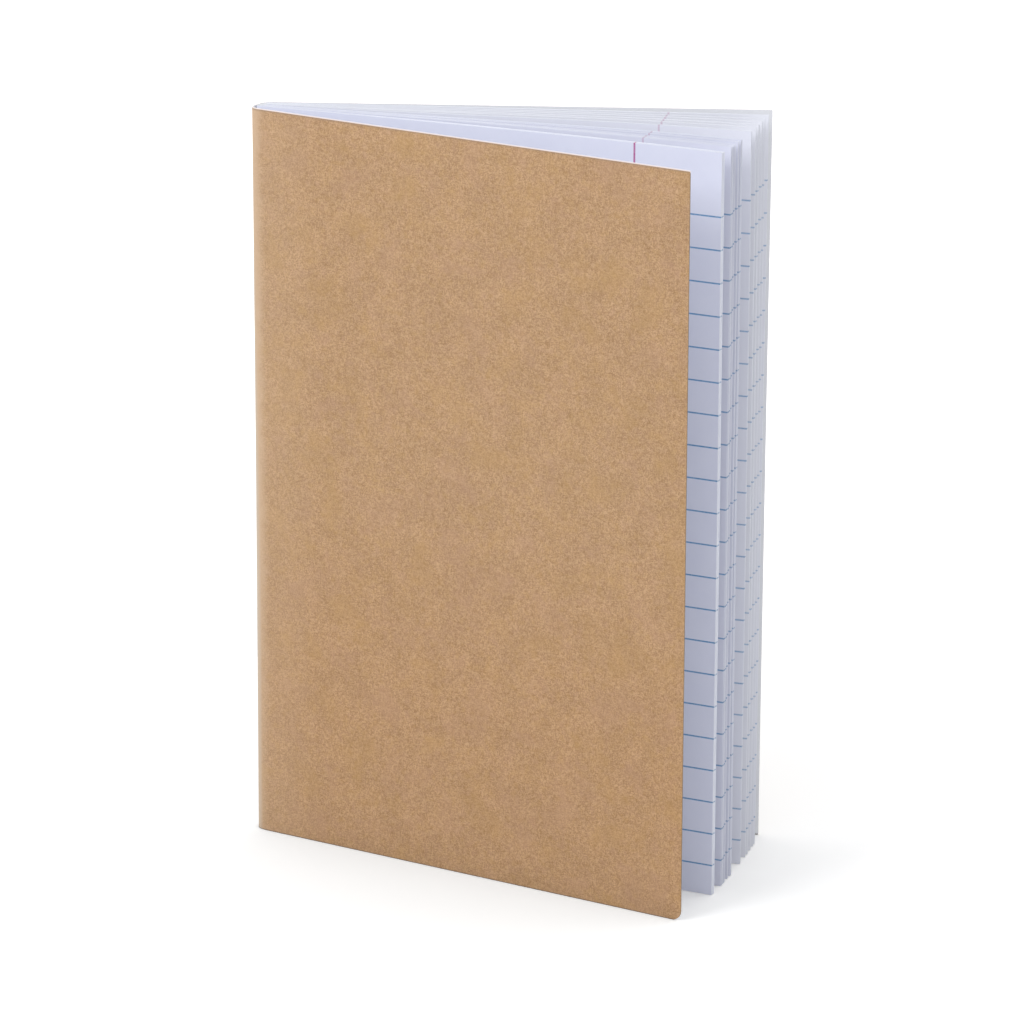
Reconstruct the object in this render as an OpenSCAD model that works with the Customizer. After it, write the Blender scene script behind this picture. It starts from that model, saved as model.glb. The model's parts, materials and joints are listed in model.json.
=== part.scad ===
// Stapled exercise book, standing on its lower edges and opened like a fan.
// One folded card makes both covers and the rounded spine. The folded sheets are nested
// inside it and held by two wire staples through the fold. The frame's origin is at the
// spine's foot on the middle plane between the covers: X runs to the fore edge, Z up, and
// the front cover is on the -Y side.

/* [Format] */
// Height of the covers and leaves
book_h = 205; // [120:1:300]
// Width of a cover, from its hinge line at the spine to its fore edge
cover_w = 136; // [80:0.5:220]
// Angle between the two covers as the book stands
open_angle = 28.6; // [18:0.1:60]

/* [Cover card] */
// Thickness of the card
card_t = 0.4; // [0.25:0.05:0.8]
// How far the rounded spine stands out behind the hinge lines
spine_bulge = 1.5; // [1.4:0.1:3.5]
// Radius of the front cover's lower fore corner, which is rubbed round
worn_corner_r = 2.8; // [0.5:0.1:10]
// Radius of the covers' other fore corners
corner_r = 0.5; // [0.2:0.1:5]

/* [Leaves] */
// Thickness of one leaf
leaf_t = 0.09; // [0.07:0.005:0.13]
// Front half of the sheets, in bundles that lie together: leaves, and place of the fore
// edge between the covers, from -1 at the front cover to 1 at the back cover
front_bundles = [[13, -0.415], [6, -0.19], [3, -0.12], [3, -0.02], [5, 0.055]];
// Back half of the same sheets, in the same way
back_bundles = [[5, 0.37], [3, 0.55], [4, 0.595], [4, 0.66], [4, 0.72], [4, 0.78], [6, 0.84]];
// Gap between the folded sheets and the inside of the card
fold_gap = 0.1; // [0.05:0.01:0.3]
// How far past the centre fold and the hinge lines the leaves stay pressed together
pinch_len = 1; // [0.5:0.1:4]
// How far a leaf on the middle plane curls back towards the front cover, in degrees
curl = 6; // [0:0.5:8]

/* [Staples] */
// Diameter of the wire
wire_d = 0.55; // [0.4:0.05:0.8]
// Length of the crown, from leg to leg
crown_len = 14; // [10:0.5:20]
// Length of each end that is bent over in the centre fold
clinch_len = 5; // [3:0.1:6]
// Distance between the middles of the two staples
staple_spacing = 93; // [40:1:110]
// How deep the wire is pressed into card and paper
bite = 0.1; // [0.05:0.01:0.15]
// Clearance round the wire in its holes and in the centre fold
wire_gap = 0.05; // [0.03:0.01:0.1]

/* [Hidden] */
$fn = 96;

kraft = [0.75, 0.61, 0.46];
paper = [0.87, 0.88, 0.95];
steel = [0.72, 0.72, 0.74];

half_open = open_angle / 2;
curve_steps = 14;

// Nested sheets: each one has a leaf in either half
leaves_in_half = leaves_before(front_bundles, len(front_bundles));
creep = leaves_in_half * leaf_t;
centre_gap = wire_d + 4 * wire_gap;
block_half = creep + centre_gap / 2;
spine_half = block_half + fold_gap + card_t;
spine_radius = (spine_half * spine_half + spine_bulge * spine_bulge) / (2 * spine_bulge);
spine_centre_x = spine_radius - spine_bulge;
fold_bulge = spine_bulge - card_t - fold_gap;
centre_fold_x = creep - fold_bulge;
pinch_x = max(centre_fold_x, 0) + pinch_len;

// Staple wire, between the outside of the spine and the centre fold
crown_x = bite - spine_bulge - wire_d / 2;
clinch_x = centre_fold_x + wire_d / 2 - bite / 2;
staple_z = [book_h / 2 - staple_spacing / 2, book_h / 2 + staple_spacing / 2];

function leaves_before(bundles, i) = i == 0 ? 0 : leaves_before(bundles, i - 1) + bundles[i - 1][0];

function heading(angle) = [cos(angle), sin(angle)];

function bezier(a, b, c, d, t) =
    pow(1 - t, 3) * a + 3 * t * pow(1 - t, 2) * b + 3 * t * t * (1 - t) * c + pow(t, 3) * d;

// Fore edge of a leaf: flush with the covers on the outside, and shorter towards the middle,
// where the inner sheets lose the thickness of those they are nested in
function fore_edge(place) =
    let (reach = cover_w + spine_half * sin(half_open) - creep * (1 - place * place))
    reach * heading(half_open * place);

// One side of a bundle, as a curve from where the leaves part to the fore edge
function leaf_side(y, offset, place) =
    let (
        start = [pinch_x, y],
        leave_angle = half_open * place * abs(place),
        end_angle = half_open * place - curl * (1 - place * place) * (1 + place),
        finish = fore_edge(place) + offset * heading(end_angle + 90),
        handle = norm(finish - start) / 3,
        near = start + handle * heading(leave_angle),
        far = finish - handle * heading(end_angle)
    )
    [for (i = [0:curve_steps]) bezier(start, near, far, finish, i / curve_steps)];

function reversed(points) = [for (i = [len(points) - 1:-1:0]) points[i]];

function without_first(points) = [for (i = [1:len(points) - 1]) points[i]];

// Outline of half the leaves, front to back, with the point that two bundles share kept once
function half_outline(bundles, first_y) = [
    for (i = [0:len(bundles) - 1])
        let (
            y = first_y + leaves_before(bundles, i) * leaf_t,
            thick = bundles[i][0] * leaf_t,
            side = leaf_side(y, -thick / 2, bundles[i][1]),
            other_side = leaf_side(y + thick, thick / 2, bundles[i][1])
        )
        each concat(i == 0 ? side : without_first(side), reversed(other_side))
];

// The sheets' folds, rounded inside the spine and straight for a length in front
module fold_block(length) {
    intersection() {
        translate([spine_centre_x, 0]) circle(r = spine_radius - card_t - fold_gap);
        translate([-spine_bulge, -block_half]) square([spine_bulge + length, 2 * block_half]);
    }
}

// All the leaves from above: nested folds at the spine, then bundles out to the fore edge
module leaf_block() {
    difference() {
        union() {
            fold_block(pinch_x / 2);
            polygon(concat(
                [[pinch_x / 4, -block_half]],
                half_outline(front_bundles, -block_half),
                half_outline(back_bundles, centre_gap / 2),
                [[pinch_x / 4, block_half]]
            ));
        }
        translate([centre_fold_x, -centre_gap / 2])
            square([pinch_x - centre_fold_x, centre_gap]);
    }
}

module corner_cut(r) {
    difference() {
        square(r);
        circle(r = r);
    }
}

// Flat cover panel in its closed place: hinge line at X 0, outer face at Y 0, body at -Y
module cover_panel(lower_r, upper_r) {
    rotate([90, 0, 0])
        linear_extrude(card_t)
            difference() {
                square([cover_w, book_h]);
                translate([cover_w - upper_r, book_h - upper_r]) corner_cut(upper_r);
                translate([cover_w - lower_r, lower_r]) mirror([0, 1]) corner_cut(lower_r);
            }
}

module back_cover() {
    color(kraft)
        translate([0, spine_half, 0])
            rotate([0, 0, half_open])
                cover_panel(corner_r, corner_r);
}

module front_cover() {
    color(kraft)
        mirror([0, 1, 0])
            translate([0, spine_half, 0])
                rotate([0, 0, half_open])
                    cover_panel(worn_corner_r, corner_r);
}

// Rounded spine between the two hinge lines
module cover_spine() {
    color(kraft)
        difference() {
            linear_extrude(book_h)
                intersection() {
                    translate([spine_centre_x, 0])
                        difference() {
                            circle(r = spine_radius);
                            circle(r = spine_radius - card_t);
                        }
                    translate([-spine_bulge - 1, -spine_half - 1])
                        square([spine_bulge + 1, 2 * spine_half + 2]);
                }
            staple_pair(wire_d + 2 * wire_gap);
        }
}

module pages() {
    color(paper)
        difference() {
            linear_extrude(book_h) leaf_block();
            staple_pair(wire_d + 2 * wire_gap);
        }
}

// Upper half of a staple about its own middle: crown, leg and clinched end, sharply bent
module half_staple(d) {
    leg_z = crown_len / 2;
    translate([crown_x, 0, 0]) cylinder(h = leg_z, d = d);
    translate([crown_x, 0, leg_z]) sphere(d = d);
    translate([crown_x, 0, leg_z]) rotate([0, 90, 0]) cylinder(h = clinch_x - crown_x, d = d);
    translate([clinch_x, 0, leg_z]) sphere(d = d);
    translate([clinch_x, 0, leg_z - clinch_len]) cylinder(h = clinch_len, d = d);
}

module staple_pair(d) {
    for (z = staple_z)
        translate([0, 0, z]) {
            half_staple(d);
            mirror([0, 0, 1]) half_staple(d);
        }
}

module staples() {
    color(steel) staple_pair(wire_d);
}

front_cover();
back_cover();
cover_spine();
pages();
staples();
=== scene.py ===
import bpy
import bmesh
import json
import random
from math import atan2, cos, pi, radians, sin, sqrt
from mathutils import Matrix, Vector

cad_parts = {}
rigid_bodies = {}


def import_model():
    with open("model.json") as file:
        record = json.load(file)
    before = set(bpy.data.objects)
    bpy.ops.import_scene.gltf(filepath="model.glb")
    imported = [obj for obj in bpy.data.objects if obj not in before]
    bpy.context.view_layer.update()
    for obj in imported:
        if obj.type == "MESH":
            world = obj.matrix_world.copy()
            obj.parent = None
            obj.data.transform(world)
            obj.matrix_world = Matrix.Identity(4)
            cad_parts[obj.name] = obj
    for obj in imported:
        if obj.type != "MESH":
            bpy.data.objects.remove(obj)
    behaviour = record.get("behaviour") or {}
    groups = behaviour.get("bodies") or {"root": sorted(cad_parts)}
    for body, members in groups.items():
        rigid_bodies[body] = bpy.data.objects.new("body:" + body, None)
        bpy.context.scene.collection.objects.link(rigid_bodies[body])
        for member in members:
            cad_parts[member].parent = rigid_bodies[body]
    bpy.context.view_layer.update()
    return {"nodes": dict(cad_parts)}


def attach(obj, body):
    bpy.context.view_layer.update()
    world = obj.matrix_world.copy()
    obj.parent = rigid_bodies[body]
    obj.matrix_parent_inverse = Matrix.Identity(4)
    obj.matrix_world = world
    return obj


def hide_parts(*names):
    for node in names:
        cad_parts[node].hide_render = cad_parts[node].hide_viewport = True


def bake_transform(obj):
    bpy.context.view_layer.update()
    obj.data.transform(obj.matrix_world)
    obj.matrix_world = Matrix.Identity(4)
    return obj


# Stapled exercise book with a kraft card cover, standing open like a fan.
# Millimetres in the dictionaries, metres in the meshes. X runs from the spine to the fore edge,
# the front cover is on the -Y side and the book stands on Z 0.
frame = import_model()
scene = bpy.context.scene
scene.view_settings.view_transform = "Standard"
mm = 0.001

# the same sizes as the solids have
book = {
    "height": 205.0,
    "coverWidth": 136.0,
    "halfOpen": 14.3,
    "card": 0.4,
    "bulge": 1.5,
    "leaf": 0.09,
    "foldGap": 0.1,
    "pinch": 1.0,
    "curl": 6.0,
    "wire": 0.55,
    "wireGap": 0.05,
    # bundles: leaves, middle place between the covers (-1 front, 1 back), places they fan over,
    # how much farther back they are at the top, how high their ruling sits and how strong it is
    "front": [
        (13, -0.415, 0.012, 0.0, 0.68, 1.0),
        (6, -0.185, 0.055, 0.0, -0.30, 0.9),
        (3, -0.12, 0.035, 0.0, 0.10, 0.8),
        (3, -0.02, 0.025, 0.0, -0.10, 0.7),
        (5, 0.055, 0.022, 0.0, 0.05, 0.7),
    ],
    "back": [
        (5, 0.365, 0.018, 0.0, -0.80, 0.75),
        (4, 0.52, 0.014, -0.03, -0.35, 0.6),
        (5, 0.61, 0.014, 0.01, -0.10, 0.6),
        (5, 0.72, 0.016, 0.02, 0.10, 0.5),
        (5, 0.82, 0.016, 0.02, -0.15, 0.5),
        (6, 0.92, 0.020, 0.10, 0.15, 0.6),
    ],
}
book["sheets"] = sum(bundle[0] for bundle in book["front"])
book["creep"] = book["sheets"] * book["leaf"]
book["slot"] = book["wire"] + 4 * book["wireGap"]
book["blockHalf"] = book["creep"] + book["slot"] / 2
book["spineHalf"] = book["blockHalf"] + book["foldGap"] + book["card"]
book["foldBulge"] = book["bulge"] - book["card"] - book["foldGap"]
book["spineRadius"] = (book["spineHalf"] ** 2 + book["bulge"] ** 2) / (2 * book["bulge"])
book["pinchX"] = book["creep"] - book["foldBulge"] + book["pinch"]


# camera

view = {
    "place": (0.586888, -1.564758, 0.579823),
    "heading": -18.2221,
    "down": 16.3187,
    "roll": 0.2779,
    "focalPx": 6353.5,
    "imagePx": 1024,
    "sensor": 36.0,
    "nearest": 0.01,
    "farthest": 30.0,
}


def clearObjects():
    for o in list(scene.objects):
        if o.type in {"CAMERA", "LIGHT"}:
            bpy.data.objects.remove(o)


def placeCamera():
    a, p, r = radians(view["heading"]), radians(view["down"]), radians(view["roll"])
    right = Vector((cos(a), -sin(a), 0))
    ahead = Vector((sin(a) * cos(p), cos(a) * cos(p), -sin(p)))
    up = right.cross(ahead)
    x = right * cos(r) + up * sin(r)
    y = up * cos(r) - right * sin(r)
    turn = Matrix((x, y, -ahead)).transposed()
    data = bpy.data.cameras.new("camera")
    data.sensor_width = view["sensor"]
    data.lens = view["focalPx"] / view["imagePx"] * view["sensor"]
    data.clip_start = view["nearest"]
    data.clip_end = view["farthest"]
    cam = bpy.data.objects.new("camera", data)
    cam.matrix_world = Matrix.Translation(view["place"]) @ turn.to_4x4()
    scene.collection.objects.link(cam)
    scene.camera = cam


clearObjects()
placeCamera()
print("camera placed")


# shader helpers

def newMaterial(name):
    mat = bpy.data.materials.new(name)
    mat.use_nodes = True
    return mat, mat.node_tree, mat.node_tree.nodes["Principled BSDF"]


def addNode(tree, kind, **settings):
    node = tree.nodes.new(kind)
    for key, value in settings.items():
        if key in node.inputs:
            node.inputs[key].default_value = value
        else:
            setattr(node, key, value)
    return node


# give a socket a number, a colour or another socket's output
def feed(tree, slot, value):
    if isinstance(value, (int, float)):
        slot.default_value = value
    elif isinstance(value, (tuple, list)):
        slot.default_value = (*value, 1.0)
    elif value is not None:
        tree.links.new(value, slot)


def mathNode(tree, operation, a, b=None, c=None):
    node = addNode(tree, "ShaderNodeMath", operation=operation)
    for slot, value in zip(node.inputs, (a, b, c)):
        feed(tree, slot, value)
    return node.outputs[0]


def mixColour(tree, amount, a, b, blend="MIX"):
    node = addNode(tree, "ShaderNodeMix", data_type="RGBA", blend_type=blend)
    for slot, value in ((node.inputs[0], amount), (node.inputs[6], a), (node.inputs[7], b)):
        feed(tree, slot, value)
    return node.outputs[2]


def noise(tree, where, scale, detail=2.0, roughness=0.5, distortion=0.0):
    node = addNode(
        tree, "ShaderNodeTexNoise",
        Scale=scale, Detail=detail, Roughness=roughness, Distortion=distortion,
    )
    tree.links.new(where, node.inputs["Vector"])
    return node.outputs["Fac"]


def stretched(tree, where, scale, turn=(0, 0, 0)):
    node = addNode(tree, "ShaderNodeMapping", Scale=scale, Rotation=turn)
    tree.links.new(where, node.inputs["Vector"])
    return node.outputs[0]


# a value between two levels, spread softly over two others
def spread(tree, value, low, high, outLow=0.0, outHigh=1.0):
    node = addNode(tree, "ShaderNodeMapRange", interpolation_type="SMOOTHSTEP")
    for slot, number in zip(node.inputs[1:5], (low, high, outLow, outHigh)):
        slot.default_value = number
    tree.links.new(value, node.inputs[0])
    return node.outputs[0]


# the same for a length, between two in millimetres
def spreadLength(tree, value, low, high, outLow=0.0, outHigh=1.0):
    return spread(tree, value, low * mm, high * mm, outLow, outHigh)


def greyOf(tree, value):
    node = addNode(tree, "ShaderNodeCombineXYZ")
    for slot in node.inputs:
        tree.links.new(value, slot)
    return node.outputs[0]


def placeIn(tree):
    return addNode(tree, "ShaderNodeTexCoord").outputs["Object"]


# the two coordinates of a piece's own layer
def layerOf(tree, name):
    layer = addNode(tree, "ShaderNodeUVMap", uv_map=name)
    parts = addNode(tree, "ShaderNodeSeparateXYZ")
    tree.links.new(layer.outputs[0], parts.inputs[0])
    return parts.outputs[0], parts.outputs[1]


# light that card and paper throw on the floor and on each other is nearly neutral in the photo
def throwNeutral(tree, base, share, colour):
    rays = addNode(tree, "ShaderNodeLightPath")
    bounced = mathNode(tree, "MULTIPLY", rays.outputs["Is Diffuse Ray"], share)
    return mixColour(tree, bounced, base, colour)


def coat(tree, skin, base, roughness, specular):
    feed(tree, skin.inputs["Base Color"], base)
    feed(tree, skin.inputs["Roughness"], roughness)
    feed(tree, skin.inputs["Specular IOR Level"], specular)


# depth in millimetres
def addBump(tree, skin, grain, strength, depth):
    bump = addNode(tree, "ShaderNodeBump", Strength=strength, Distance=depth * mm)
    tree.links.new(grain, bump.inputs["Height"])
    tree.links.new(bump.outputs[0], skin.inputs["Normal"])


def newGroup(name, inputs, outputs):
    group = bpy.data.node_groups.new(name, "ShaderNodeTree")
    for label, kind in inputs:
        group.interface.new_socket(name=label, in_out="INPUT", socket_type=kind)
    for label, kind in outputs:
        group.interface.new_socket(name=label, in_out="OUTPUT", socket_type=kind)
    return group, group.nodes.new("NodeGroupInput"), group.nodes.new("NodeGroupOutput")


def useGroup(tree, group, **values):
    node = addNode(tree, "ShaderNodeGroup", node_tree=group)
    for key, value in values.items():
        feed(tree, node.inputs[key], value)
    return node


# fibre: the felted grain of card and paper, short fibres lying every way in the sheet

fibre = {
    # two crossing sets of fibres: how fine along X, Y and Z, and how they are turned
    "lying": ((980, 1500, 2600), (0, 0.5, 0)),
    "standing": ((2600, 1500, 1060), (0, 0.35, 0)),
    "noise": (1.0, 2.0, 0.6, 0.6),
    "share": 0.29,
    # and a fine speckle
    "speckle": (3100, 2.0, 0.55),
    "speckleShare": 0.42,
    "grain": (0.385, 0.615),
    "cloudNoise": (130, 4.0, 0.6, 0.3),
    "cloud": (0.32, 0.68),
    "fleckShape": ((700, 700, 1150), (0.3, 0.8, 0)),
    "fleckNoise": (1.0, 1.0, 0.5, 0.4),
    "fleck": (0.69, 0.76),
}


def makeFibreGroup():
    group, given, out = newGroup(
        "fibreGrain",
        [("Vector", "NodeSocketVector"), ("Size", "NodeSocketFloat")],
        [("Grain", "NodeSocketFloat"), ("Cloud", "NodeSocketFloat"), ("Fleck", "NodeSocketFloat")],
    )
    scaled = addNode(group, "ShaderNodeVectorMath", operation="SCALE")
    group.links.new(given.outputs["Vector"], scaled.inputs[0])
    group.links.new(given.outputs["Size"], scaled.inputs["Scale"])
    where = scaled.outputs[0]
    lying = noise(group, stretched(group, where, *fibre["lying"]), *fibre["noise"])
    standing = noise(group, stretched(group, where, *fibre["standing"]), *fibre["noise"])
    fibres = mathNode(group, "ADD", lying, standing)
    speckle = mathNode(group, "MULTIPLY", noise(group, where, *fibre["speckle"]), fibre["speckleShare"])
    both = mathNode(group, "MULTIPLY_ADD", fibres, fibre["share"], speckle)
    group.links.new(spread(group, both, *fibre["grain"]), out.inputs["Grain"])
    cloud = noise(group, where, *fibre["cloudNoise"])
    group.links.new(spread(group, cloud, *fibre["cloud"]), out.inputs["Cloud"])
    fleck = noise(group, stretched(group, where, *fibre["fleckShape"]), *fibre["fleckNoise"])
    group.links.new(spread(group, fleck, *fibre["fleck"]), out.inputs["Fleck"])
    return group


fibreGrain = makeFibreGroup()


# kraft card

kraft = {
    "colour": (0.521, 0.321, 0.173),
    "dark": (0.352, 0.199, 0.098),
    "light": (0.682, 0.453, 0.271),
    "plainShare": 0.30,
    # the pulp's colour drifts between dusky and yellowish, in small blots and over centimetres
    "dusky": (0.526, 0.324, 0.209),
    "yellow": (0.526, 0.324, 0.143),
    "blots": {
        "noise": (560, 2.0, 0.55),
        "dusky": (0.52, 0.72, 0.0, 0.40),
        "yellow": (0.48, 0.28, 0.0, 0.40),
    },
    "drifts": {
        "noise": (80, 3.0, 0.6, 0.4),
        "dusky": (0.50, 0.70, 0.0, 0.40),
        "yellow": (0.50, 0.30, 0.0, 0.40),
    },
    "clouds": (0.963, 1.037),
    "fleckShare": 0.40,
    # zones: from one distance to another in millimetres, how strong at each
    "brown": (0.985, 0.952, 0.915),
    "brownZone": (120.0, 35.0),
    "worn": (0.705, 0.510, 0.350),
    "fadeZone": (28.0, 5.0, 0.0, 0.16),
    "wearZone": (7.6, 3.4, 0.0, 0.90),
    "wearByHeight": (10.0, 110.0, 0.45, 1.0),
    "wearNoise": (260, 3.0, 0.6),
    "wearUneven": 3.0,
    "wearLean": -0.006,
    # painted sheen on the spine's rounded back, lighter and greyer
    "rubbed": (0.700, 0.590, 0.475),
    "sheenZone": (4.9, 3.2, 0.0, 0.85),
    "sheenByHeight": (10.0, 110.0, 0.75, 1.0),
    # along the top a pale line painted as a highlight on the rim and a dark one under it, and a painted
    # contact shadow along the foot
    "pressed": (0.310, 0.220, 0.165),
    "pressedZone": (1.00, 0.23, 0.0, 0.50),
    "rimHighlightZone": (0.2875, 0.1725, 0.0, 0.8),
    "footShadow": (0.175, 0.135, 0.110),
    "footShadowZone": (0.38, 0.10, 0.0, 0.75),
    "thrown": (0.36, 0.34, 0.32),
    "thrownShare": 0.85,
    "roughness": (0.86, 0.74),
    "specular": 0.25,
    "bump": (0.16, 0.06),
}

kraftInside = {
    "colour": (0.812, 0.828, 0.880),
    "grainColour": (0.68, 0.685, 0.72),
    "grainShare": 0.10,
    "cloudColour": (0.70, 0.70, 0.72),
    "cloudShare": 0.10,
    "footShadowZone": (0.6, 0.1, 0.0, 0.6),
    "roughness": 0.8,
    "specular": 0.25,
    "bump": (0.12, 0.05),
}

# pale on the trimmed top, dark down the fore edge
kraftCut = {
    "colour": (0.960, 0.880, 0.870),
    "grainColour": (0.86, 0.76, 0.72),
    "edgeDark": (0.300, 0.220, 0.150),
    "edgeDarkZone": (book["height"] - 0.25, book["height"] - 0.9),
    "size": 1.6,
    "roughness": 0.9,
    "specular": 0.2,
}


def makeKraftOutside():
    mat, tree, skin = newMaterial("kraftOutside")
    where = placeIn(tree)
    along, height = layerOf(tree, "cardPlace")
    fibres = useGroup(tree, fibreGrain, Vector=where, Size=1.0)
    base = mixColour(tree, fibres.outputs["Grain"], kraft["dark"], kraft["light"])
    base = mixColour(tree, kraft["plainShare"], base, kraft["colour"])
    for patch in (kraft["blots"], kraft["drifts"]):
        value = noise(tree, where, *patch["noise"])
        base = mixColour(tree, spread(tree, value, *patch["dusky"]), base, kraft["dusky"])
        base = mixColour(tree, spread(tree, value, *patch["yellow"]), base, kraft["yellow"])
    cloud = spread(tree, fibres.outputs["Cloud"], 0.0, 1.0, *kraft["clouds"])
    base = mixColour(tree, 1.0, base, greyOf(tree, cloud), "MULTIPLY")
    fleck = mathNode(tree, "MULTIPLY", fibres.outputs["Fleck"], kraft["fleckShare"])
    base = mixColour(tree, fleck, base, kraft["dark"])
    # a little browner and darker towards the foot
    base = mixColour(tree, spreadLength(tree, height, *kraft["brownZone"]), base, kraft["brown"], "MULTIPLY")
    # handling has worn the card beside the spine, less at the foot, and the fold's rounded back is drawn
    # lighter and greyer as a painted sheen
    swing = kraft["wearUneven"] * mm
    uneven = mathNode(tree, "MULTIPLY_ADD", noise(tree, where, *kraft["wearNoise"]), swing, -swing / 2)
    far = mathNode(tree, "ADD", mathNode(tree, "MULTIPLY_ADD", height, kraft["wearLean"], along), uneven)
    base = mixColour(tree, spreadLength(tree, far, *kraft["fadeZone"]), base, kraft["worn"])
    wear = spreadLength(tree, far, *kraft["wearZone"])
    wear = mathNode(tree, "MULTIPLY", wear, spreadLength(tree, height, *kraft["wearByHeight"]))
    base = mixColour(tree, wear, base, kraft["worn"])
    rub = spreadLength(tree, along, *kraft["sheenZone"])
    rub = mathNode(tree, "MULTIPLY", rub, spreadLength(tree, height, *kraft["sheenByHeight"]))
    base = mixColour(tree, rub, base, kraft["rubbed"])
    # a dark line just under the top edge, a painted highlight on the top rim, and a painted contact shadow
    # along the foot
    down = mathNode(tree, "SUBTRACT", book["height"] * mm, height)
    # a dark line just under the top edge
    base = mixColour(tree, spreadLength(tree, down, *kraft["pressedZone"]), base, kraft["pressed"])
    # painted highlight: a pale line along the top rim
    base = mixColour(tree, spreadLength(tree, down, *kraft["rimHighlightZone"]), base, kraftCut["colour"])
    # painted contact shadow: a dark line along the foot
    base = mixColour(tree, spreadLength(tree, height, *kraft["footShadowZone"]), base, kraft["footShadow"])
    base = throwNeutral(tree, base, kraft["thrownShare"], kraft["thrown"])
    rough = spread(tree, fibres.outputs["Grain"], 0.0, 1.0, *kraft["roughness"])
    coat(tree, skin, base, rough, kraft["specular"])
    addBump(tree, skin, fibres.outputs["Grain"], *kraft["bump"])
    return mat


def makeKraftInside():
    mat, tree, skin = newMaterial("kraftInside")
    height = layerOf(tree, "cardPlace")[1]
    fibres = useGroup(tree, fibreGrain, Vector=placeIn(tree), Size=1.0)
    shade = mathNode(tree, "MULTIPLY", fibres.outputs["Grain"], kraftInside["grainShare"])
    base = mixColour(tree, shade, kraftInside["colour"], kraftInside["grainColour"])
    cloud = mathNode(tree, "MULTIPLY", fibres.outputs["Cloud"], kraftInside["cloudShare"])
    base = mixColour(tree, cloud, base, kraftInside["cloudColour"])
    # painted contact shadow: a dark line along the foot of the inside
    base = mixColour(tree, spreadLength(tree, height, *kraftInside["footShadowZone"]), base, kraft["footShadow"])
    coat(tree, skin, base, kraftInside["roughness"], kraftInside["specular"])
    addBump(tree, skin, fibres.outputs["Grain"], *kraftInside["bump"])
    return mat


def makeKraftCut():
    mat, tree, skin = newMaterial("kraftCutEdge")
    height = layerOf(tree, "cardPlace")[1]
    fibres = useGroup(tree, fibreGrain, Vector=placeIn(tree), Size=kraftCut["size"])
    base = mixColour(tree, fibres.outputs["Grain"], kraftCut["colour"], kraftCut["grainColour"])
    base = mixColour(tree, spreadLength(tree, height, *kraftCut["edgeDarkZone"]), base, kraftCut["edgeDark"])
    coat(tree, skin, base, kraftCut["roughness"], kraftCut["specular"])
    return mat


kraftMaterials = [makeKraftOutside(), makeKraftInside(), makeKraftCut()]


# writing paper

paper = {
    "colour": (0.815, 0.837, 0.990),
    "shade": (0.760, 0.785, 0.955),
    "shadeShare": 0.35,
    "fibreSize": 0.8,
    # painted light: the whiter colour of the back leaves, standing in for light through the paper
    "inner": (0.930, 0.945, 1.000),
    "thrown": (0.850, 0.850, 0.850),
    "thrownShare": 0.7,
    "rule": (0.105, 0.310, 0.590),
    "margin": (0.480, 0.110, 0.310),
    "firstRule": 187.05,
    "rulePitch": 8.966,
    "rules": 21,
    "ruleWidth": 0.43,
    "marginAt": 109.1,
    "marginWidth": 0.56,
    # how far a printed line's soft edge reaches, as shares of its width
    "lineEdge": (0.62, 0.34),
    # the ink is a little uneven where the paper's fibres take it
    "inkFull": 0.98,
    "inkUneven": -0.18,
    "roughness": 0.75,
    "specular": 0.25,
    "bump": (0.06, 0.04),
}

paperCut = {
    "colour": (0.930, 0.955, 1.000),
    "grainColour": (0.885, 0.912, 0.980),
    "grainShape": (900, 900, 260),
    "grainNoise": (1.0, 3.0, 0.6),
    "grain": (0.3, 0.7),
    # darker towards the spine
    "spineZone": (2.0, 60.0, 0.79, 1.0),
    "roughness": 0.85,
    "specular": 0.2,
}


def printedLine(tree, distance, width):
    outer, inner = paper["lineEdge"]
    return spreadLength(tree, distance, width * outer, width * inner)


def makeRulingGroup():
    group, given, out = newGroup(
        "ruling",
        [("Along", "NodeSocketFloat"), ("Height", "NodeSocketFloat")],
        [("Rule", "NodeSocketFloat"), ("Margin", "NodeSocketFloat")],
    )
    pitch, last = paper["rulePitch"] * mm, paper["rules"] - 1.0
    low = paper["firstRule"] * mm - pitch * last
    above = mathNode(group, "SUBTRACT", given.outputs["Height"], low)
    nearest = mathNode(group, "ROUND", mathNode(group, "DIVIDE", above, pitch))
    nearest = mathNode(group, "MINIMUM", mathNode(group, "MAXIMUM", nearest, 0.0), last)
    off = mathNode(group, "SUBTRACT", above, mathNode(group, "MULTIPLY", nearest, pitch))
    off = mathNode(group, "ABSOLUTE", off)
    group.links.new(printedLine(group, off, paper["ruleWidth"]), out.inputs["Rule"])
    side = mathNode(group, "SUBTRACT", given.outputs["Along"], paper["marginAt"] * mm)
    side = mathNode(group, "ABSOLUTE", side)
    group.links.new(printedLine(group, side, paper["marginWidth"]), out.inputs["Margin"])
    return group


ruling = makeRulingGroup()


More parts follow.
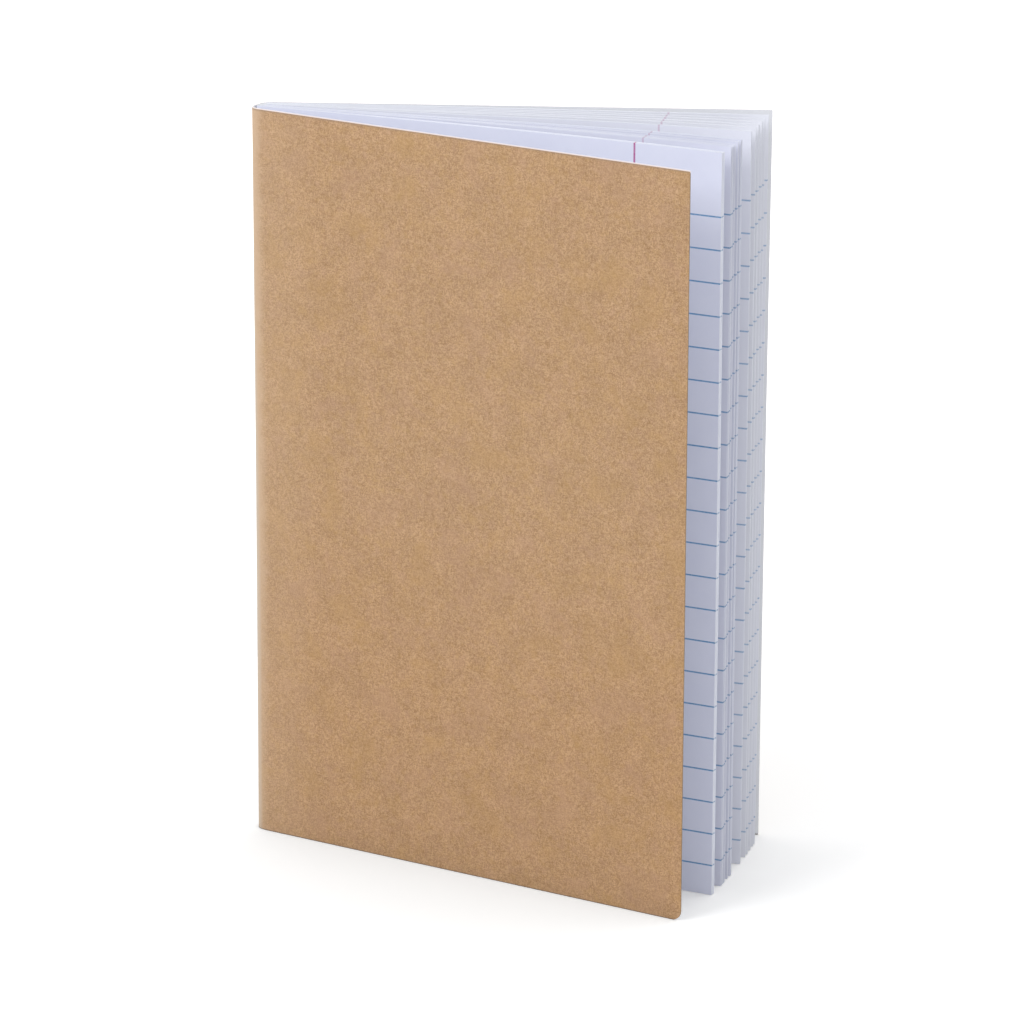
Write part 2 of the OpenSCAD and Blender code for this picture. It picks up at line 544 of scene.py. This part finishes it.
def makeLeafPaper():
    mat, tree, skin = newMaterial("writingPaper")
    along, height = layerOf(tree, "leafPlace")
    fibres = useGroup(tree, fibreGrain, Vector=placeIn(tree), Size=paper["fibreSize"])
    cloud = mathNode(tree, "MULTIPLY", fibres.outputs["Cloud"], paper["shadeShare"])
    base = mixColour(tree, cloud, paper["colour"], paper["shade"])
    # painted light: the leaves towards the back are drawn whiter, standing in for light that comes through
    # them
    base = mixColour(tree, layerOf(tree, "leafTone")[0], base, paper["inner"])
    lines = useGroup(tree, ruling, Along=along, Height=height)
    ink = mathNode(tree, "MULTIPLY_ADD", fibres.outputs["Grain"], paper["inkUneven"], paper["inkFull"])
    for line, colour, strength in zip(("Rule", "Margin"), ("rule", "margin"), layerOf(tree, "leafInk")):
        taken = mathNode(tree, "MULTIPLY", ink, strength)
        printed = mathNode(tree, "MULTIPLY", lines.outputs[line], taken)
        base = mixColour(tree, printed, base, paper[colour])
    base = throwNeutral(tree, base, paper["thrownShare"], paper["thrown"])
    coat(tree, skin, base, paper["roughness"], paper["specular"])
    addBump(tree, skin, fibres.outputs["Grain"], *paper["bump"])
    return mat


def makeLeafCut():
    mat, tree, skin = newMaterial("paperCutEdge")
    grain = noise(tree, stretched(tree, placeIn(tree), paperCut["grainShape"]), *paperCut["grainNoise"])
    share = spread(tree, grain, *paperCut["grain"])
    base = mixColour(tree, share, paperCut["colour"], paperCut["grainColour"])
    near = spreadLength(tree, layerOf(tree, "leafPlace")[0], *paperCut["spineZone"])
    base = mixColour(tree, 1.0, base, greyOf(tree, near), "MULTIPLY")
    coat(tree, skin, base, paperCut["roughness"], paperCut["specular"])
    return mat


paperMaterials = [makeLeafPaper(), makeLeafCut()]
print("card and paper materials made")


# mesh helpers

sharpFrom = radians(40)
closeTo = 0.01


def finishMesh(bm, name, materials):
    mesh = bpy.data.meshes.new(name)
    bm.to_mesh(mesh)
    bm.free()
    for mat in materials:
        mesh.materials.append(mat)
    obj = bpy.data.objects.new(name, mesh)
    scene.collection.objects.link(obj)
    return obj


# a sheet gets its thickness in millimetres
def addWall(obj, thickness, **settings):
    wall = obj.modifiers.new("wall", "SOLIDIFY")
    wall.thickness = thickness * mm
    for key, value in settings.items():
        setattr(wall, key, value)


def bakeModifiers(obj):
    graph = bpy.context.evaluated_depsgraph_get()
    graph.update()
    mesh = bpy.data.meshes.new_from_object(obj.evaluated_get(graph))
    obj.modifiers.clear()
    old = obj.data
    obj.data = mesh
    bpy.data.meshes.remove(old)
    mesh.name = obj.name
    mesh.set_sharp_from_angle(angle=sharpFrom)


def bezier(a, b, c, d, t):
    s = 1 - t
    return a * s**3 + b * 3 * t * s * s + c * 3 * t * t * s + d * t**3


def ease(t):
    t = min(max(t, 0.0), 1.0)
    return t * t * (3 - 2 * t)


def heading(degrees):
    return Vector((cos(radians(degrees)), sin(radians(degrees))))


# a point on a row of points, a distance along it
def walk(points, distance):
    left = distance
    for a, b in zip(points, points[1:]):
        step = (b - a).length
        if left <= step or b is points[-1]:
            return a + (b - a) / step * left
        left -= step


def lengthOf(points):
    return sum((b - a).length for a, b in zip(points, points[1:]))


# cover: half of the folded card, from the middle of the spine round to the fore edge

cover = {
    "bendSteps": 22,
    "panelSteps": 12,
    "rows": 20,
    "wornCorner": 2.8,
    "corner": 0.3,
    "cornerSteps": 8,
    "edgeRound": 0.07,
    "edgeSteps": 2,
    "edgeFrom": 50,
    # the card bends between these distances from its hinge line
    "bendStart": -0.9,
    "bendEnd": 1.3,
    # half of the spine in plan at the foot: curve, shoulder, where the panel is straight, spring out
    "foot": {"round": 2.7, "shoulder": 3.4, "straightFrom": 3.0, "spring": 0.0},
    # higher up the card has sprung open: the same at the top, and the back cover's lean and reach
    "frontTop": {"round": 3.72, "shoulder": 3.65, "straightFrom": 2.76, "spring": 1.83},
    "backTop": {"round": 3.94, "shoulder": 1.86, "straightFrom": 3.39, "spring": -0.74},
    "flareFrom": 50.0,
    "flareCurve": 1.4,
    "backLean": 1.7,
    "backReach": 0.65,
    "reachCurve": 1.5,
    # above the upper staple the spine's middle has moved in, and the spine sits askew
    "flattenFrom": 152.0,
    "flatten": 0.91,
    "skew": 0.31,
    # paper nearer the card than the first depth moves with it, beyond the second not at all
    "giveFrom": 0.7,
    "giveTo": 3.6,
}


# how far the middle of the spine has moved in at a height
def flattened(z):
    return cover["flatten"] * ease((z - cover["flattenFrom"]) / (book["height"] - cover["flattenFrom"]))


# outer face from the spine's middle to the fore edge, seen from above at a height
def coverProfile(side, z):
    out = heading(book["halfOpen"] * side)
    away = Vector((-out.y, out.x)) * side
    top = cover["frontTop"] if side < 0 else cover["backTop"]
    rise = max((z - cover["flareFrom"]) / (book["height"] - cover["flareFrom"]), 0.0)
    rise = rise ** cover["flareCurve"]
    shape = {key: low + (top[key] - low) * rise for key, low in cover["foot"].items()}
    lean = cover["backLean"] * z / book["height"] if side > 0 else 0.0
    reach = cover["backReach"] * (z / book["height"]) ** cover["reachCurve"] if side > 0 else 0.0
    hinge = Vector((0, book["spineHalf"] * side))
    foreEdge = hinge + out * (book["coverWidth"] + reach) + away * lean
    straight = hinge + out * shape["straightFrom"] + away * shape["spring"]
    along = (foreEdge - straight).normalized()
    start = Vector((flattened(z) - book["bulge"], 0))
    skew = cover["skew"] * flattened(z) / cover["flatten"]
    near = start + Vector((skew, 1)).normalized() * shape["round"] * side
    far = straight - along * shape["shoulder"]
    n = cover["bendSteps"]
    return [bezier(start, near, far, straight, i / n) for i in range(n + 1)] + [foreEdge]


cardShapes = {}


def cardShape(side, z):
    if (side, z) not in cardShapes:
        cardShapes[side, z] = coverProfile(side, z)
    return cardShapes[side, z]


# where the card has moved inwards at a height, the paper under it gives way by a share
def giveWay(p, z):
    side = -1 if p.y < 0 else 1
    low, now = cardShape(side, 0), cardShape(side, z)
    best = None
    for i in range(len(low) - 1):
        step = low[i + 1] - low[i]
        share = min(max((p - low[i]).dot(step) / step.length_squared, 0.0), 1.0)
        near = low[i] + step * share
        gap = (near - p).length
        if best is None or gap < best[0]:
            best = gap, near, (now[i] - low[i]).lerp(now[i + 1] - low[i + 1], share)
    gap, near, move = best
    outwards = (near - p) / max(gap, 1e-6)
    inwards = -move.dot(outwards)
    share = min(max((cover["giveTo"] - gap) / (cover["giveTo"] - cover["giveFrom"]), 0.0), 1.0)
    return p - outwards * max(inwards, 0.0) * share


def cutAcross(bm, place, normal):
    geom = bm.verts[:] + bm.edges[:] + bm.faces[:]
    bmesh.ops.bisect_plane(bm, geom=geom, plane_co=place, plane_no=normal)


def makeCover(side, name, lowerCorner):
    points = coverProfile(side, 0)
    bend = lengthOf(points[:-1])
    total = lengthOf(points)
    bm = bmesh.new()
    bmesh.ops.create_grid(bm, x_segments=1, y_segments=1, size=0.5)
    bmesh.ops.transform(bm, matrix=Matrix.Translation((0.5, 0.5, 0)), verts=bm.verts)
    bmesh.ops.scale(bm, vec=(total, book["height"], 1), verts=bm.verts)
    # the fore corners: the front cover's lower one is rubbed round
    for edge, radius in ((0, lowerCorner), (book["height"], cover["corner"])):
        corner = [v for v in bm.verts if total - v.co.x < closeTo and abs(v.co.y - edge) < closeTo]
        bmesh.ops.bevel(
            bm, geom=corner, offset=radius, segments=cover["cornerSteps"],
            profile=0.5, affect="VERTICES", material=-1,
        )
    steps, rows = cover["panelSteps"], cover["rows"]
    cuts = [lengthOf(points[: i + 1]) for i in range(1, len(points) - 1)]
    cuts += [bend + (total - bend) * k / steps for k in range(1, steps)]
    for x in cuts:
        cutAcross(bm, (x, 0, 0), (1, 0, 0))
    for k in range(1, rows):
        cutAcross(bm, (0, book["height"] * k / rows, 0), (0, 1, 0))
    uv = bm.loops.layers.uv.new("cardPlace")
    for f in bm.faces:
        f.smooth = True
        for loop in f.loops:
            loop[uv].uv = (loop.vert.co.x * mm, loop.vert.co.y * mm)
    for v in bm.verts:
        z = v.co.y
        profile = coverProfile(side, z)
        place = walk(profile, v.co.x * lengthOf(profile) / total)
        v.co = Vector((place.x, place.y, z)) * mm
    bmesh.ops.recalc_face_normals(bm, faces=bm.faces)
    outward = sum((f.normal.y for f in bm.faces)) * side
    if outward < 0:
        bmesh.ops.reverse_faces(bm, faces=bm.faces)
    obj = finishMesh(bm, name, kraftMaterials)
    addWall(obj, book["card"], offset=-1, use_even_offset=True, material_offset=1, material_offset_rim=2)
    rim = obj.modifiers.new("rim", "BEVEL")
    rim.width = cover["edgeRound"] * mm
    rim.segments = cover["edgeSteps"]
    rim.limit_method = "ANGLE"
    rim.angle_limit = radians(cover["edgeFrom"])
    bakeModifiers(obj)
    return obj


frontCard = makeCover(-1, "frontCard", cover["wornCorner"])
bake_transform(frontCard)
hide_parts("front_cover", "cover_spine")
backCard = makeCover(1, "backCard", cover["corner"])
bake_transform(backCard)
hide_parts("back_cover", "cover_spine")
print("cover made")


# leaves

leaves = {
    "seed": 7,
    "curveSteps": 20,
    "rows": 8,
    "thickness": 0.078,
    "looseness": 0.012,
    # a leaf runs this far on from where its fold becomes straight
    "root": 0.25,
    # trim of the fore edge, shorter and longer, and of the top
    "reachPlay": 0.12,
    "reachRange": (-1, 0.2),
    "topPlay": 0.10,
    # slight wave up a leaf, growing towards the fore edge
    "wave": 0.16,
    "waveLength": 160,
    "waveAtEdge": 1.2,
    # the margin line behind the first bundle is faint
    "farMargin": 0.35,
    # painted light through the paper: the leaves from the middle plane to this place are drawn whiter by
    # this much
    "paintedThroughLight": 0.62,
    "paintedThroughLightAt": 0.60,
    # bundles before this place reckon their share against the front cover, and no leaf's share is all or
    # none of a turn
    "turnsFrom": -0.05,
    "leastTurn": 0.01,
    "mostTurn": 0.98,
    "halvings": 40,
    "farOff": 1000.0,
}
dice = random.Random(leaves["seed"])


def leafProfile(place, y, offset, reachPlay, rootX):
    creep = book["creep"] * (1 - place * place)
    reach = book["coverWidth"] + book["spineHalf"] * sin(radians(book["halfOpen"])) - creep + reachPlay
    start = Vector((book["pinchX"], y))
    leave = book["halfOpen"] * place * abs(place)
    end = book["halfOpen"] * place - book["curl"] * (1 - place * place) * (1 + place)
    finish = heading(book["halfOpen"] * place) * reach + heading(end + 90) * offset
    handle = (finish - start).length / 3
    near = start + heading(leave) * handle
    far = finish - heading(end) * handle
    n = leaves["curveSteps"]
    return [Vector((rootX, y))] + [bezier(start, near, far, finish, i / n) for i in range(n + 1)]


# where a folded sheet's round part ends, with the centre and radius of its fold
def foldStart(depth):
    centre = book["spineRadius"] - book["bulge"]
    r = book["spineRadius"] - book["card"] - book["foldGap"] - depth
    h = book["blockHalf"] - depth
    return centre - sqrt(max(r * r - h * h, 0.0)), centre, r


def bakeSheet(obj):
    addWall(obj, leaves["thickness"], offset=0, material_offset_rim=1)
    bakeModifiers(obj)


def makeLeaf(number, place, lean, jog, ink, y, offset, depth, wave, phase):
    reachPlay = leaves["reachPlay"] * dice.uniform(*leaves["reachRange"])
    low = dice.uniform(0, leaves["topPlay"])
    rootX = foldStart(depth)[0] + leaves["root"]
    middle = leafProfile(place, y, offset, reachPlay, rootX)
    along = [lengthOf(middle[: i + 1]) for i in range(len(middle))]
    marginInk = 1.0 if ink == 1.0 else leaves["farMargin"]
    # how much painted through-light this leaf takes
    white = leaves["paintedThroughLight"] * ease(place / leaves["paintedThroughLightAt"])
    n, rows = len(middle) - 1, leaves["rows"]
    bm = bmesh.new()
    bmesh.ops.create_grid(bm, x_segments=n, y_segments=rows, size=0.5)
    uv, inkUv, throughLightUv = [bm.loops.layers.uv.new(label) for label in ("leafPlace", "leafInk", "leafTone")]
    for f in bm.faces:
        f.smooth = True
        for loop in f.loops:
            i = round((loop.vert.co.x + 0.5) * n)
            height = (loop.vert.co.y + 0.5) * book["height"]
            loop[uv].uv = ((along[i] + rootX) * mm, (height - jog) * mm)
            loop[inkUv].uv = (ink, marginInk)
            loop[throughLightUv].uv = (white, 0.0)
    profiles = {}
    for v in bm.verts:
        i, row = round((v.co.x + 0.5) * n), round((v.co.y + 0.5) * rows)
        if row not in profiles:
            there = place + lean * (row / rows - 0.5)
            profiles[row] = leafProfile(there, y, offset, reachPlay, rootX)
        points = profiles[row]
        z = (book["height"] - low) * row / rows
        way = (points[min(i + 1, n)] - points[max(i - 1, 0)]).normalized()
        share = along[i] / along[-1]
        push = wave * sin(2 * pi * z / leaves["waveLength"] + phase) * share * share * leaves["waveAtEdge"]
        p = giveWay(points[i] + Vector((-way.y, way.x)) * push, z)
        v.co = Vector((p.x, p.y, z)) * mm
    obj = finishMesh(bm, "leaf%02d" % number, paperMaterials)
    bakeSheet(obj)
    return obj, middle


# a share of the cover's turn is found by halving, and the leaf is then baked where it stands
def evenShare(obj, share):
    lo, hi = 0.0, 1.0
    for _ in range(leaves["halvings"]):
        mid = (lo + hi) / 2
        if ease(mid) < share:
            lo = mid
        else:
            hi = mid
    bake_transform(obj)


# how much of a cover's turn a leaf needs to lie flat when the cover is closed
def shareOfTurn(points, side, closedY):
    tip = points[-1]
    hinge = book["spineHalf"] * side
    now = atan2((tip.y - hinge) * side, tip.x)
    shut = atan2((closedY - hinge) * side, tip.x)
    return max(min((now - shut) / radians(book["halfOpen"]), leaves["mostTurn"]), leaves["leastTurn"])


def makeLeaves():
    t = book["leaf"]
    number = 0
    for bundles, firstY in ((book["front"], -book["blockHalf"]), (book["back"], book["slot"] / 2)):
        y = firstY
        for count, middlePlace, fan, lean, jog, ink in bundles:
            wave, phase = leaves["wave"] * dice.uniform(-1, 1), dice.uniform(0, 2 * pi)
            for k in range(count):
                place = middlePlace + fan * ((k + 0.5) / count - 0.5)
                offset = (k + 0.5 - count / 2) * (t + leaves["looseness"] * dice.uniform(0, 1))
                depth = (min(number, 2 * book["sheets"] - 1 - number) + 0.5) * t
                number, middle = number + 1, y + t / 2
                obj, points = makeLeaf(number, place, lean, jog, ink, middle, offset, depth, wave, phase)
                side, body = (-1, "front_cover") if place < leaves["turnsFrom"] else (1, "back_cover")
                evenShare(obj, shareOfTurn(points, side, middle))
                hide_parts("pages")
                y += t


makeLeaves()
print("leaves made")


# folds: the sheets' nested folds inside the spine

folds = {"steps": 16, "rows": 12, "legs": 1.4, "short": 0.06, "hollow": 0.25}


def makeFolds():
    bm = bmesh.new()
    uv = bm.loops.layers.uv.new("leafPlace")
    for k in range(book["sheets"]):
        depth = (k + 0.5) * book["leaf"]
        startX, centre, r = foldStart(depth)
        h = book["blockHalf"] - depth
        swing = atan2(h, centre - startX)
        turns = [swing * (2 * i / folds["steps"] - 1) for i in range(folds["steps"] + 1)]
        arc = [Vector((centre - r * cos(a), r * sin(a))) for a in turns]
        points = [Vector((startX + folds["legs"], -h))] + arc + [Vector((startX + folds["legs"], h))]
        n = len(points) - 1
        got = bmesh.ops.create_grid(bm, x_segments=n, y_segments=folds["rows"], size=0.5)
        for f in {f for v in got["verts"] for f in v.link_faces}:
            f.smooth = True
            for loop in f.loops:
                loop[uv].uv = (0.0, (loop.vert.co.y + 0.5) * book["height"] * mm)
        for v in got["verts"]:
            p = points[round((v.co.x + 0.5) * n)]
            z = folds["short"] + (v.co.y + 0.5) * (book["height"] - 2 * folds["short"])
            hollow = folds["hollow"] * max(1 - (p.y / book["blockHalf"]) ** 2, 0)
            p = giveWay(Vector((p.x + hollow, p.y)), z)
            v.co = Vector((p.x, p.y, z)) * mm
    obj = finishMesh(bm, "foldedSheets", paperMaterials)
    bakeSheet(obj)
    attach(obj, "text_block")
    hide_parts("pages")


makeFolds()
print("folds made")


# staples: galvanised wire

wire = {
    "drawnShape": (4000, 4000, 260),
    "drawnNoise": (1.0, 2.0, 0.5),
    "drawn": (0.3, 0.7),
    "dull": (0.50, 0.51, 0.53),
    "bright": (0.66, 0.67, 0.69),
    "spotNoise": (900, 2.0, 0.5),
    "spots": (0.55, 0.75, 0.0, 0.35),
    "spotColour": (0.40, 0.40, 0.41),
    "roughness": (0.2, 0.8, 0.28, 0.42),
}


def makeWire():
    mat, tree, skin = newMaterial("stapleWire")
    where = placeIn(tree)
    drawn = noise(tree, stretched(tree, where, wire["drawnShape"]), *wire["drawnNoise"])
    spots = noise(tree, where, *wire["spotNoise"])
    base = mixColour(tree, spread(tree, drawn, *wire["drawn"]), wire["dull"], wire["bright"])
    base = mixColour(tree, spread(tree, spots, *wire["spots"]), base, wire["spotColour"])
    tree.links.new(base, skin.inputs["Base Color"])
    tree.links.new(spread(tree, drawn, *wire["roughness"]), skin.inputs["Roughness"])
    skin.inputs["Metallic"].default_value = 1.0
    return mat


wireNode = frame["nodes"]["staples"]
wireNode.data.materials.clear()
wireNode.data.materials.append(makeWire())
print("staples finished")


# studio: lamps and floor, in metres

studio = {
    "skyStrength": 0.675,
    "floorSize": 6.0,
    "floorBelow": 0.00005,
    "floorRoughness": 0.95,
    # how bright the floor is as a light, and as seen near the book and far out
    "floorLight": 0.70,
    "floorSeen": 1.17,
    "floorFar": 1.70,
    "nearTo": 0.22,
    "farFrom": 0.60,
    "key": {"place": (-0.43, -0.75, 0.79), "aim": (0.05, 0.0, 0.10), "size": 0.54, "power": 3.9},
    "top": {"place": (0.25, 0.35, 1.60), "aim": (0.06, 0.0, 0.10), "size": 1.2, "power": 6.0},
    "fill": {"place": (1.45, -0.55, 0.45), "aim": (0.1, 0.0, 0.10), "size": 1.0, "power": 4.2},
}


def makeLamp(name, lamp):
    data = bpy.data.lights.new(name, "AREA")
    data.shape = "SQUARE"
    data.size = lamp["size"]
    data.energy = lamp["power"]
    obj = bpy.data.objects.new(name, data)
    place = Vector(lamp["place"])
    obj.location = place
    obj.rotation_euler = (Vector(lamp["aim"]) - place).to_track_quat("-Z", "Y").to_euler()
    scene.collection.objects.link(obj)


# 1 where the camera sees it, straight or mirrored, and 0 where it only lights
def seenBy(tree):
    rays = addNode(tree, "ShaderNodeLightPath")
    return mathNode(tree, "MAXIMUM", rays.outputs["Is Camera Ray"], rays.outputs["Is Glossy Ray"])


def makeSky():
    world = bpy.data.worlds.new("studioSky")
    scene.world = world
    world.use_nodes = True
    tree = world.node_tree
    back = tree.nodes["Background"]
    dim = studio["skyStrength"]
    strength = mathNode(tree, "MULTIPLY_ADD", seenBy(tree), 1.0 - dim, dim)
    back.inputs["Color"].default_value = (1, 1, 1, 1)
    tree.links.new(strength, back.inputs["Strength"])


def makeFloor():
    bm = bmesh.new()
    bmesh.ops.create_grid(bm, x_segments=1, y_segments=1, size=studio["floorSize"])
    mat, tree, skin = newMaterial("studioFloor")
    # the shadow is kept near the book, and the floor stays white far out
    away = addNode(tree, "ShaderNodeVectorMath", operation="LENGTH")
    tree.links.new(placeIn(tree), away.inputs[0])
    white = spread(
        tree, away.outputs["Value"], studio["nearTo"], studio["farFrom"],
        studio["floorSeen"], studio["floorFar"],
    )
    base = mixColour(tree, seenBy(tree), (studio["floorLight"],) * 3, greyOf(tree, white))
    coat(tree, skin, base, studio["floorRoughness"], 0.0)
    floor = finishMesh(bm, "floor", [mat])
    floor.location.z = -studio["floorBelow"]


makeSky()
makeFloor()
for name in ("key", "top", "fill"):
    makeLamp(name, studio[name])
print("studio made")
